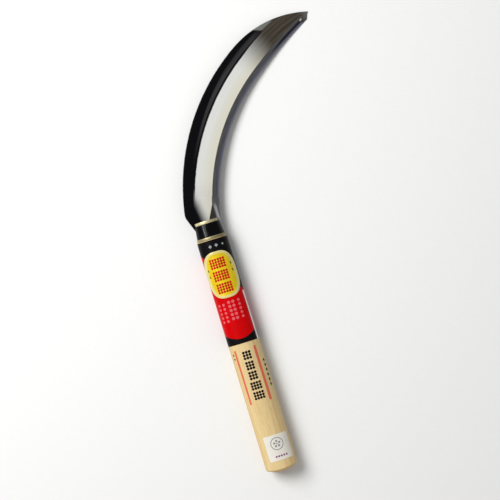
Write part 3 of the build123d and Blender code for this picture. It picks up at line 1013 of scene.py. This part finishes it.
def mark_tree():
    """Node tree that lays a small slab or disc on an oval bar at each point given."""
    t, given = new_tree("marks on an oval bar", (
        "Low Half Width", "Low Half Depth", "High Half Width", "High Half Depth",
        "Low Y", "High Y", "Lift", "Thickness",
    ))

    def attribute(name):
        return t.node("GeometryNodeInputNamedAttribute", {"Name": name}).outputs[0]

    slab = t.node(
        "GeometryNodeMeshCube",
        {"Size": (1, 1, 1), "Vertices X": 6, "Vertices Y": 4, "Vertices Z": 2},
    ).outputs[0]
    disc = t.node(
        "GeometryNodeMeshCylinder",
        {"Vertices": 16, "Fill Segments": 2, "Radius": 0.5, "Depth": 1.0},
        fill_type="TRIANGLE_FAN",
    ).outputs[0]
    is_round = attribute("round")
    both = t.node("GeometryNodeJoinGeometry")
    for shape, chosen in ((slab, t.less(1.0, is_round)), (disc, is_round)):
        placed = t.node("GeometryNodeInstanceOnPoints", {
            "Points": given["Geometry"], "Instance": shape, "Selection": chosen,
            "Rotation": t.join(0.0, 0.0, attribute("turn")),
            "Scale": t.join(attribute("width"), attribute("height"), 1.0),
        })
        t.put(both.inputs[0], placed.outputs[0])
    real = t.node("GeometryNodeRealizeInstances", {0: both.outputs[0]})
    x, y, z = t.parts(t.node("GeometryNodeInputPosition").outputs[0])
    above, length = t.less(y, given["Low Y"]), t.less(given["High Y"], given["Low Y"])
    share = t.math("DIVIDE", above, length)
    half_width = t.blend(share, given["Low Half Width"], given["High Half Width"])
    half_depth = t.blend(share, given["Low Half Depth"], given["High Half Depth"])
    turn = t.math("DIVIDE", x, half_width)
    side, top = t.math("SINE", turn), t.math("COSINE", turn)
    normal = t.vector("NORMALIZE", t.join(
        t.times(half_depth, side), 0.0, t.times(half_width, top)
    ))
    lift = t.plus(given["Lift"], t.times(z, given["Thickness"]))
    on_oval = t.join(t.times(half_width, side), y, t.times(half_depth, top))
    raised = t.node("ShaderNodeVectorMath", {0: normal, "Scale": lift}, operation="SCALE")
    place = t.vector("ADD", on_oval, raised.outputs["Vector"])
    laid = t.node("GeometryNodeSetPosition", {"Geometry": real.outputs[0], "Position": place})
    return end_tree(t, laid.outputs[0], given["Material"])


MARK_THICKNESS = 0.1 * MM
marks_on_oval = mark_tree()
HANDLE_SHAPE = (BUTT_HALF, HEAD_HALF, 0.0, handle_length)


def press_marks(name, marks, shape, lift, finish):
    """Marks given as (x, y, width, height, turn, round), laid on an oval bar as one piece."""
    low, high, low_y, high_y = shape
    points = bpy.data.meshes.new("points")
    flat = []
    for x, y, *_ in marks:
        share = (y - low_y) / (high_y - low_y)
        width = low[0] + (high[0] - low[0]) * share
        flat.append((width * math.asin(max(-1, min(1, x / width))), y, 0))
    points.from_pydata(flat, [], [])
    for column, key in ((2, "width"), (3, "height"), (4, "turn"), (5, "round")):
        layer = points.attributes.new(key, "FLOAT", "POINT")
        layer.data.foreach_set("value", [mark[column] for mark in marks])
    values = {
        "Low Half Width": low[0], "Low Half Depth": low[1],
        "High Half Width": high[0], "High Half Depth": high[1],
        "Low Y": low_y, "High Y": high_y, "Material": finish,
        "Lift": lift - MARK_THICKNESS / 2, "Thickness": MARK_THICKNESS,
    }
    made = run_tree(marks_on_oval, points, values)
    finish_piece(name, made, finish)


def bar(x, y, width, height, turn=0.0):
    """One printed bar."""
    return (x, y, width, height, turn, 0.0)


def dot(x, y, size):
    """One printed dot."""
    return (x, y, size, size, 0.0, 1.0)


def lozenge(x, y, size):
    """One lozenge, as wide and high as size."""
    side = size / math.sqrt(2)
    return bar(x, y, side, side, math.pi / 4)


def grid(x, y, columns, rows, pitch, size):
    """Even block of dots."""
    marks = []
    for i in range(columns):
        for j in range(rows):
            across, up = i - (columns - 1) / 2, j - (rows - 1) / 2
            marks.append(dot(x + across * pitch, y + up * pitch, size))
    return marks


def blossom(x, y, reach, petal, heart):
    """Five round petals about a small round heart."""
    marks = [dot(x, y, heart)]
    for i in range(5):
        turn = 2 * math.pi * i / 5
        marks.append(dot(x + reach * math.sin(turn), y + reach * math.cos(turn), petal))
    return marks


def lozenge_column(x, top_y, count, pitch, size):
    """Small lozenges one below another."""
    return [lozenge(x, top_y - pitch * i, size) for i in range(count)]


def scaled(marks):
    """Marks given in millimetres, in metres."""
    return [(*(size * MM for size in mark[:4]), *mark[4:]) for mark in marks]


# The printing, in millimetres beside the handle's middle line and from its butt.
# A lift is height above the wood or the film; a block's dot is a share of its pitch.
INK_LIFT = 0.02
FOIL_LIFT = 0.16
LINE_BARS = ((-10.1, 2.3), (8.7, 2.8))
LINE_Y = 93
LINE_LENGTH = 51.8
BLOCK_X = -0.3
BLOCKS = ((112.3, 3, 2.75), (102.4, 3, 2.75), (92.9, 3, 2.75), (83.2, 4, 2.6), (73.9, 4, 2.6))
BLOCK_DOT = 0.96
HEAD_LOZENGES = ((-3.4, 217.2, 3.3), (2.4, 217.4, 3.3), (8.3, 217.2, 2.6))
SMALL_PRINT = ((-9.4, 154.6, 2.7), (-0.2, 155.8, 2.9), (9.0, 155.8, 2.7))
MOTIF_COLUMNS = (-5.0, 2.4)
MOTIF_ROWS = (201.0, 189.3, 177.6)
TICKS = ((-11.3, 196), (-11.3, 190), (10.2, 198.2), (10.2, 191.6))
STICKER_MOTIF = (2.0, 26.6)
CIRCLE_RADIUS = 5.6
CIRCLE_BARS = 28


def make_marks(black, red, white, pink, grey, violet, badge_red):
    """All the printing, as plain geometric motifs."""
    def press(name, marks, lift, finish):
        press_marks(name, scaled(marks), HANDLE_SHAPE, lift * MM, finish)

    film = FILM / MM
    lines = [bar(x, LINE_Y, width, LINE_LENGTH) for x, width in LINE_BARS]
    press("ink_side_lines", lines, INK_LIFT, red)
    blocks = []
    for y, columns, pitch in BLOCKS:
        blocks += grid(BLOCK_X, y, columns, 3, pitch, BLOCK_DOT * pitch)
    press("ink_dot_blocks", blocks, INK_LIFT, black)
    side = lozenge_column(13.2, 103.5, 6, 4.6, 3.6) + lozenge_column(-12.3, 115, 2, 3.8, 2.4)
    press("ink_side_lozenges", side, INK_LIFT, black)
    head = [lozenge(x, y, size) for x, y, size in HEAD_LOZENGES]
    press("film_head_marks", head, film + INK_LIFT, white)
    small = []
    for x, y, size in SMALL_PRINT:
        small += grid(x, y, 2, 5, 3.9, size)
    press("film_small_print", small, film + INK_LIFT, pink)
    motif = []
    for x in MOTIF_COLUMNS:
        for y in MOTIF_ROWS:
            motif += grid(x, y, 3, 4, 2.4, 2.3)
    press("badge_motif", motif, film + FOIL_LIFT, badge_red)
    ticks = [bar(x, y, 1.1, 2.4, 0.3) for x, y in TICKS]
    press("badge_ticks", ticks, film + FOIL_LIFT - 0.02, black)
    middle_x, middle_y = STICKER_MOTIF
    circle = blossom(middle_x, middle_y, 2.5, 2.2, 1.5)
    for i in range(CIRCLE_BARS):
        turn = 2 * math.pi * i / CIRCLE_BARS
        x = middle_x + CIRCLE_RADIUS * math.cos(turn)
        y = middle_y + CIRCLE_RADIUS * math.sin(turn)
        circle.append(bar(x, y, 1.5, 0.8, turn + math.pi / 2))
    press("sticker_circle", circle, film, grey)
    row = [lozenge(-1.8 + 2.4 * i, 14.9, 2.3) for i in range(5)]
    press("sticker_row", row, film, violet)


# ---------------------------------------------------------------- finishes

def wood_finish():
    """Pale straight-grained hardwood, lightly sealed."""
    f = Finish("pale hardwood", Specular_IOR_Level=0.12)
    sway = f.noise(f.stretched(20, 6, 20), 1.0, 2.0)
    ring_x = f.plus(f.less(f.x, 0.011), f.times(sway, 0.006))
    ring_z = f.plus(f.z, 0.034)
    reach = f.vector("LENGTH", f.join(ring_x, f.times(f.y, 0.02), ring_z))
    rings = f.noise(f.join(f.times(reach, 520), 0.0, f.times(f.y, 3)), 1.0, 2.0)
    streaks = f.noise(f.stretched(1500, 45, 1500), 1.0, 3.0, 0.6)
    pores = f.ramp(f.noise(f.stretched(2600, 130, 2600), 1.0, 2.0, 0.6), 0.56, 0.72)
    patches = f.noise(f.stretched(60, 22, 60), 1.0, 3.0)
    pale = f.mix(patches, shade_of(224, 202, 150), shade_of(213, 186, 132))
    colour = f.tint(pale, f.ramp(rings, 0.35, 0.75), 0.7, shade_of(200, 166, 114))
    colour = f.tint(colour, f.ramp(streaks, 0.5, 0.8), 0.35, shade_of(182, 144, 98))
    colour = f.tint(colour, pores, 0.4, shade_of(146, 108, 70))
    end_grain = f.ramp(f.y, 1.5 * MM, 4.5 * MM, 1.0, 0.0)
    colour = f.tint(colour, end_grain, 0.35, shade_of(186, 146, 98))
    roughness = f.blend(streaks, 0.42, 0.6)
    return f.done(colour, roughness, bumps=(
        (streaks, 0.35, 0.08 * MM), (pores, 0.4, -0.06 * MM),
    ))


def blade_places(f):
    """Distance outside the grind line, degrees about its centre, and length along it."""
    offset = f.vector("SUBTRACT", f.place, (grind_centre.x, grind_centre.y, 0))
    x, y, _ = f.parts(offset)
    reach = f.vector("LENGTH", f.join(x, y, 0.0))
    turn = f.times(f.math("ARCTAN2", y, x), 180 / math.pi)
    return f.less(reach, GRIND_RADIUS), turn, f.times(turn, math.radians(GRIND_RADIUS))


def blade_grain(f, places, across, along, seed=0.0, detail=3.0, roughness=0.5):
    """Noise that follows the blade's curve, with a scale across and along it."""
    outside, _, length = places
    spot = f.join(f.times(outside, across), f.times(length, along), seed)
    return f.noise(spot, 1.0, detail, roughness)


def band_steel(f, places):
    """Colour of the dark band beside the edge."""
    cloud = blade_grain(f, places, 600, 60)
    return f.mix(cloud, shade_of(56, 56, 58), shade_of(96, 96, 99))


def tip_spot(f):
    """One on the small bright spot beside the tip."""
    from_spot = f.vector("SUBTRACT", f.place, BRIGHT_SPOT)
    x, y, _ = f.parts(from_spot)
    along = f.plus(f.times(x, 0.76), f.times(y, 0.65))
    across = f.less(f.times(x, 0.65), f.times(y, 0.76))
    reach = f.vector("LENGTH", f.join(along, f.times(across, 1.9), 0.0))
    return f.ramp(reach, 0.7 * MM, 1.9 * MM, 1.0, 0.0)


def iron_finish():
    """Black forge scale on the flats, satin grinding on the bevel."""
    f = Finish("forged and ground iron", Specular_IOR_Level=0.03)
    places = blade_places(f)
    outside, turn, _ = places
    drop = f.less(FACE_Z, f.z)
    wander = f.noise(f.place, 240.0, 3.0)
    drop = f.plus(drop, f.times(f.less(wander, 0.5), 0.08 * MM))
    # Only what faces up is ground: the spine's wall and the underside keep their scale.
    _, _, facing_up = f.parts(f.node("ShaderNodeNewGeometry").outputs["True Normal"])
    on_top = f.ramp(facing_up, 0.5, 0.8)
    # The grinding fades in slowly at the heel, and covers the whole tip.
    above_mouth = f.less(f.y, mouth_y)
    heel_side = f.plus(f.x, f.times(above_mouth, TONGUE_LEAN))
    tongue = f.ramp(heel_side, *TONGUE_FADE)
    tongue = f.times(tongue, f.ramp(outside, -0.6 * MM, 0.8 * MM, 1.0, 0.0))
    at_heel = f.ramp(above_mouth, 15 * MM, 33 * MM, 1.0, 0.0)
    ground = f.blend(at_heel, f.ramp(drop, 0.08 * MM, 0.17 * MM), tongue)
    cut_turn = f.less(turn, f.times(outside, 230.0))
    ground = f.math("MAXIMUM", ground, f.ramp(cut_turn, SCALE_END_TURN, SCALE_END_TURN + 0.8, 1.0, 0.0))
    ground = f.times(ground, on_top)
    toward_tip = f.ramp(turn, 116.5, 129.0, 1.0, 0.0)
    # Fine scratches across the bevel and slow tone bands along it.
    scratches = blade_grain(f, places, 90, 2600, roughness=0.6)
    tones = blade_grain(f, places, 380, 9, seed=2.0, roughness=0.55)
    warm = f.ramp(outside, -17 * MM, -4 * MM, 1.0, 0.0)
    bright = f.mix(warm, shade_of(238, 240, 238), shade_of(234, 230, 210))
    bright = f.tint(bright, tones, 0.5, shade_of(206, 204, 194))
    bright = f.tint(bright, scratches, 0.25, shade_of(176, 174, 166))
    bright = f.tint(bright, f.ramp(turn, 158, 163.5), 0.2, shade_of(170, 170, 164))
    # Towards the tip the bevel turns dark brown as a painted dark reflection; a grey patch beside the
    # scale and a grey tip end lie on it.
    tip_tone = blade_grain(f, places, 500, 14, seed=5.0)
    dark_tip_reflection = f.mix(f.ramp(tip_tone, 0.25, 0.8), shade_of(50, 44, 36), shade_of(84, 78, 70))
    beside_scale = f.band(cut_turn, PATCH_TURN, PATCH_END_TURN, 0.5)
    grey_patch = f.times(beside_scale, f.ramp(outside, 0.5 * MM, 3 * MM))
    dark_tip_reflection = f.tint(dark_tip_reflection, grey_patch, 0.7, shade_of(122, 124, 120))
    tip_end = f.ramp(turn, 105.2, 106.8, 1.0, 0.0)
    dark_tip_reflection = f.tint(dark_tip_reflection, tip_end, 0.7, shade_of(104, 104, 106))
    ground_colour = f.mix(toward_tip, bright, dark_tip_reflection)
    ground_colour = f.mix(tip_spot(f), ground_colour, shade_of(196, 196, 188))
    # Forge scale, with a thin rubbed stripe along the upper grind line.
    mottle = f.noise(f.place, 420.0, 4.0, 0.6)
    scale = f.mix(mottle, shade_of(0, 1, 2), shade_of(12, 12, 16))
    along_stripe = f.times(f.ramp(turn, 157, 143, 0.0, 1.0), f.ramp(turn, 116, 121))
    rubbed_to = f.ramp(turn, 130.0, 150.0, 4.8 * MM, 2.6 * MM)
    rubbed = f.ramp(f.less(rubbed_to, outside), -0.9 * MM, 0.9 * MM)
    rubbed = f.times(rubbed, f.ramp(outside, 0.2 * MM, 1.3 * MM))
    stripe = f.times(rubbed, along_stripe)
    stripe = f.times(stripe, f.ramp(tones, 0.25, 0.75, 0.45, 0.95))
    scale = f.mix(stripe, scale, shade_of(54, 53, 54))
    worn = f.wear(0.5 * MM, 0.86, 0.97)
    scale = f.tint(scale, worn, 0.2, shade_of(96, 94, 96))
    colour = f.mix(ground, scale, ground_colour)
    # Beyond the step the thick ricasso stays dark, but for one rubbed patch; near the mouth, beside the
    # step, it is darkened further with a painted shadow.
    past_x = f.less(f.x, STEP_FOOT.x)
    past_y = f.less(f.y, STEP_FOOT.y)
    past_step = f.plus(f.times(past_x, step_out.x), f.times(past_y, step_out.y))
    band_starts = f.times(f.ramp(outside, -16.9 * MM, -16.5 * MM, 1.0, 0.0), on_top)
    past_heel = f.ramp(turn, 163.0, 163.4)
    ricasso = f.times(f.ramp(past_step, -0.12 * MM, 0.12 * MM), past_heel)
    ricasso = f.times(ricasso, on_top)
    band = band_steel(f, places)
    colour = f.mix(f.times(band_starts, past_heel), colour, band)
    low = f.ramp(f.y, mouth_y + 9 * MM, mouth_y + 15 * MM, 1.0, 0.0)
    inner = f.ramp(f.x, 9.6 * MM, 10.4 * MM, 1.0, 0.0)
    # Painted shadow of the step beside the mouth, in dark brown.
    step_shadow = f.mix(mottle, shade_of(34, 32, 28), shade_of(62, 60, 50))
    notch = f.mix(f.times(low, inner), band, step_shadow)
    patch = f.times(f.band(f.x, 10.9 * MM, 13.2 * MM, 0.4 * MM), low)
    notch = f.tint(notch, patch, 0.85, shade_of(146, 148, 152))
    colour = f.mix(ricasso, colour, notch)
    dull = f.math("MAXIMUM", f.times(band_starts, past_heel), ricasso)
    shine = f.times(ground, f.less(1.0, f.times(dull, 0.6)))
    metallic = f.times(shine, f.blend(toward_tip, 0.42, 0.3))
    roughness = f.blend(ground, f.blend(mottle, 0.45, 0.65), f.blend(scratches, 0.38, 0.52))
    smooth = f.less(1.0, ground)
    return f.done(colour, roughness, metallic, bumps=(
        (f.times(mottle, smooth), 0.6, 0.12 * MM),
        (f.times(scratches, ground), 0.25, 0.02 * MM),
    ))


def steel_finish():
    """Fine ground, dark hardened steel, with a painted bluish reflection along the very edge."""
    f = Finish("hardened edge steel", Specular_IOR_Level=0.2)
    places = blade_places(f)
    _, turn, _ = places
    height = f.less(f.z, EDGE_Z)
    from_edge = f.math("DIVIDE", height, bevel_slope)
    fine = blade_grain(f, places, 200, 3000, roughness=0.6)
    dark = band_steel(f, places)
    # Painted reflection: a thin bluish lighter line along the very edge.
    line = f.ramp(from_edge, 0.6 * MM, 2.2 * MM, 1.0, 0.0)
    edge_glint = f.mix(fine, shade_of(88, 89, 112), shade_of(116, 117, 136))
    colour = f.mix(line, dark, edge_glint)
    near_tip = f.ramp(turn, 115, 121, 1.0, 0.0)
    burr = f.times(f.band(from_edge, 1.9 * MM, 4.2 * MM, 0.6 * MM), near_tip)
    colour = f.tint(colour, burr, 0.9, shade_of(14, 13, 18))
    colour = f.mix(tip_spot(f), colour, shade_of(196, 196, 188))
    back = f.ramp(f.z, -1.29 * MM, -1.25 * MM, 1.0, 0.0)
    haze = blade_grain(f, places, 300, 22, seed=3.0, detail=4.0, roughness=0.6)
    flat_back = f.mix(f.ramp(haze, 0.3, 0.7), shade_of(118, 118, 122), shade_of(204, 204, 200))
    flat_back = f.tint(flat_back, fine, 0.4, shade_of(150, 150, 150))
    colour = f.mix(back, colour, flat_back)
    roughness = f.blend(fine, 0.3, 0.46)
    return f.done(colour, roughness, 0.5, bumps=((fine, 0.2, 0.02 * MM),))


def enamel_finish():
    """Gloss black enamel, thicker in places."""
    f = Finish("black enamel", Specular_IOR_Level=0.1)
    sag = f.noise(f.place, 260.0, 2.0)
    specks = f.noise(f.place, 2600.0, 2.0)
    colour = f.mix(sag, shade_of(0, 0, 1), shade_of(7, 7, 9))
    worn = f.wear(0.4 * MM, 0.8, 0.95)
    colour = f.tint(colour, worn, 0.2, shade_of(90, 88, 86))
    roughness = f.blend(specks, 0.12, 0.22)
    return f.done(colour, roughness, bumps=((sag, 0.3, 0.15 * MM), (specks, 0.1, 0.01 * MM)))


def brass_finish():
    """Pale brass, brighter by the blade, and darker on the tip's side with painted shade."""
    f = Finish("pale brass")
    turned = f.noise(f.stretched(150, 5200, 150), 1.0, 2.0, 0.6)
    dull = f.noise(f.place, 330.0, 4.0)
    rubbed = f.mix(dull, shade_of(178, 168, 126), shade_of(146, 134, 98))
    bright = f.mix(dull, shade_of(246, 230, 184), shade_of(212, 198, 152))
    colour = f.mix(f.ramp(f.y, ferrule_y, neck_y), rubbed, bright)
    # Painted shade: the rings darken towards the tip's side.
    shaded_side = f.ramp(f.x, -4 * MM, 11 * MM)
    colour = f.tint(colour, shaded_side, 0.62, shade_of(84, 78, 66))
    colour = f.tint(colour, turned, 0.3, shade_of(120, 106, 72))
    roughness = f.blend(dull, 0.3, 0.46)
    return f.done(colour, roughness, 0.5, bumps=((turned, 0.25, 0.02 * MM),))


def seam_highlight_finish():
    """Solder along the ferrule's seam, worn through in places; its light grey is partly a painted
    highlight.
    """
    f = Finish("dull solder", Specular_IOR_Level=0.2)
    lumps = f.noise(f.stretched(1500, 420, 1500), 1.0, 3.0)
    colour = f.mix(f.ramp(lumps, 0.4, 0.62), shade_of(112, 112, 118), shade_of(34, 34, 38))
    return f.done(colour, f.blend(lumps, 0.35, 0.6), 0.3, bumps=((lumps, 0.5, 0.05 * MM),))


def film_finish():
    """Gloss film, printed black at its ends and red between."""
    f = Finish("printed film", Specular_IOR_Level=0.06)
    square = f.times(f.x, f.x)
    lower = f.plus(RED_LOW_Y, f.times(square, RED_LOW_BOW))
    upper = f.less(RED_HIGH_Y, f.times(f.x, RED_HIGH_SLANT))
    above = f.ramp(f.less(f.y, lower), -0.15 * MM, 0.15 * MM)
    below = f.ramp(f.less(upper, f.y), -0.15 * MM, 0.15 * MM)
    red_field = f.times(above, below)
    cloud = f.noise(f.place, 160.0, 3.0)
    grain = f.noise(f.place, 3000.0, 2.0)
    red = f.mix(cloud, shade_of(204, 2, 3), shade_of(184, 2, 8))
    black = f.mix(cloud, shade_of(4, 4, 6), shade_of(22, 19, 20))
    colour = f.mix(red_field, black, red)
    turn = f.math("ARCTAN2", f.x, f.z)
    lap, past_margin = math.radians(LAP_DEGREES), math.radians(LAP_DEGREES + MARGIN_DEGREES)
    margin = f.band(turn, lap, past_margin, math.radians(0.4))
    margin = f.times(margin, f.ramp(f.y, MARGIN_TOP_Y + MM, MARGIN_TOP_Y))
    colour = f.mix(margin, colour, shade_of(226, 222, 222))
    roughness = f.blend(grain, 0.22, 0.34)
    return f.done(colour, roughness, bumps=((cloud, 0.25, 0.2 * MM), (grain, 0.08, 0.01 * MM)))


def badge_finish():
    """Yellow gloss foil with a cream border."""
    f = Finish("yellow foil", Specular_IOR_Level=0.1)
    centre_y, half_length, half_width = badge_size()

    def far(value, size):
        inner = f.math("ABSOLUTE", f.math("DIVIDE", value, size - BADGE_BORDER))
        return f.math("POWER", inner, BADGE_SQUARENESS)

    across = far(f.less(f.x, BADGE_CENTRE_X), half_width)
    along = far(f.less(f.y, centre_y), half_length)
    border = f.ramp(f.plus(across, along), 0.97, 1.04)
    cloud = f.noise(f.place, 170.0, 3.0)
    brushed = f.noise(f.stretched(400, 4000, 400), 1.0, 2.0)
    yellow = f.mix(cloud, shade_of(228, 202, 32), shade_of(210, 176, 28))
    cream = f.mix(cloud, shade_of(224, 213, 146), shade_of(204, 192, 122))
    colour = f.mix(border, yellow, cream)
    roughness = f.blend(brushed, 0.24, 0.36)
    return f.done(colour, roughness, 0.12, bumps=((brushed, 0.12, 0.02 * MM),))


def paper_finish():
    """Matt white paper."""
    f = Finish("sticker paper", Specular_IOR_Level=0.15)
    fibre = f.noise(f.stretched(2600, 900, 2600), 1.0, 4.0, 0.6)
    stain = f.noise(f.place, 140.0, 3.0)
    colour = f.mix(stain, shade_of(232, 228, 218), shade_of(216, 211, 200))
    colour = f.tint(colour, fibre, 0.2, shade_of(198, 191, 178))
    return f.done(colour, f.blend(fibre, 0.65, 0.85), bumps=((fibre, 0.3, 0.04 * MM),))


def ink_finish(name, low, high, roughness=0.4):
    """Screen-printed ink, a little uneven."""
    f = Finish(name, Specular_IOR_Level=0.06)
    uneven = f.noise(f.place, 900.0, 4.0, 0.6)
    colour = f.mix(uneven, shade_of(*low), shade_of(*high))
    gloss = f.blend(uneven, roughness, roughness + 0.15)
    return f.done(colour, gloss, bumps=((uneven, 0.2, 0.02 * MM),))


def pin_finish():
    """Plain drawn wire."""
    f = Finish("drawn pin steel")
    drawn = f.noise(f.stretched(2400, 2400, 120), 1.0, 3.0)
    colour = f.mix(drawn, shade_of(168, 168, 170), shade_of(122, 122, 126))
    return f.done(colour, f.blend(drawn, 0.3, 0.5), 1.0, bumps=((drawn, 0.3, 0.02 * MM),))


# ---------------------------------------------------------------- the piece itself

make_handle(wood_finish())
make_blade(iron_finish(), steel_finish())
make_ferrule(enamel_finish(), seam_highlight_finish())
make_rings(brass_finish())
make_film(film_finish())
make_badge(badge_finish())
make_sticker(paper_finish())
make_marks(
    ink_finish("black ink", (14, 10, 12), (34, 26, 30)),
    ink_finish("red line ink", (214, 112, 86), (202, 96, 72)),
    ink_finish("white ink", (164, 172, 170), (118, 124, 126)),
    ink_finish("pink ink", (222, 104, 112), (200, 76, 82)),
    ink_finish("grey ink", (130, 130, 134), (160, 160, 160)),
    ink_finish("violet ink", (140, 56, 104), (104, 56, 124)),
    ink_finish("badge red ink", (190, 24, 12), (170, 18, 8)),
)
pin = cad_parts["tang_pin"]
pin.data.materials.clear()
pin.data.materials.append(pin_finish())


# ---------------------------------------------------------------- studio

def make_floor():
    """Plain pale floor under the tool."""
    mesh = bpy.data.meshes.new("floor")
    reach = 3.0
    corners = [(-reach, -reach), (reach, -reach), (reach, reach), (-reach, reach)]
    mesh.from_pydata([(x, y, floor_z) for x, y in corners], [], [(0, 1, 2, 3)])
    f = Finish("pale floor", Specular_IOR_Level=0.1)
    grain = f.noise(f.place, 300.0, 3.0)
    colour = f.mix(grain, (0.80, 0.80, 0.79), (0.83, 0.83, 0.82))
    mesh.materials.append(f.done(colour, f.blend(grain, 0.75, 0.85)))
    floor = bpy.data.objects.new("floor", mesh)
    bpy.context.scene.collection.objects.link(floor)


HANDLE_LEAN = math.radians(17.14)
VIEW_CENTRE = Vector((30.8, 203.8, 0)) * MM
VIEW_WIDTH = 462.5 * MM
VIEW_DISTANCE = 1.8
SENSOR = 36.0
image_up = Vector((math.sin(HANDLE_LEAN), math.cos(HANDLE_LEAN), 0))
image_right = Vector((math.cos(HANDLE_LEAN), -math.sin(HANDLE_LEAN), 0))


def make_camera():
    """Camera square to the blade's face, with the handle leaning."""
    data = bpy.data.cameras.new("camera")
    data.sensor_width = SENSOR
    data.lens = SENSOR * VIEW_DISTANCE / VIEW_WIDTH
    camera = bpy.data.objects.new("camera", data)
    bpy.context.scene.collection.objects.link(camera)
    turn = Matrix((image_right, image_up, UP)).transposed().to_4x4()
    place = Matrix.Translation(VIEW_CENTRE + VIEW_DISTANCE * UP) @ turn
    camera.matrix_world = LYING @ place
    bpy.context.scene.camera = camera


def make_light(name, direction, distance, size, power, colour=(1, 1, 1)):
    """Soft square light that looks at the tool's middle."""
    data = bpy.data.lights.new(name, "AREA")
    data.shape = "RECTANGLE"
    data.size, data.size_y = size
    data.energy = power
    data.color = colour
    light = bpy.data.objects.new(name, data)
    bpy.context.scene.collection.objects.link(light)
    back = direction.normalized()
    light.location = LYING @ VIEW_CENTRE + back * distance
    light.rotation_mode = "QUATERNION"
    light.rotation_quaternion = back.to_track_quat("Z", "Y")


def make_studio():
    """Even pale surroundings and a soft key from the upper left."""
    world = bpy.data.worlds.new("studio")
    world.use_nodes = True
    background = world.node_tree.nodes["Background"]
    background.inputs["Color"].default_value = (1, 1, 1, 1)
    background.inputs["Strength"].default_value = 0.4
    bpy.context.scene.world = world
    make_light("key", -0.75 * image_right + 0.4 * image_up + 1.1 * UP, 1.6, (0.9, 0.9), 27)
    view = bpy.context.scene.view_settings
    view.view_transform = "Standard"


make_floor()
make_camera()
make_studio()
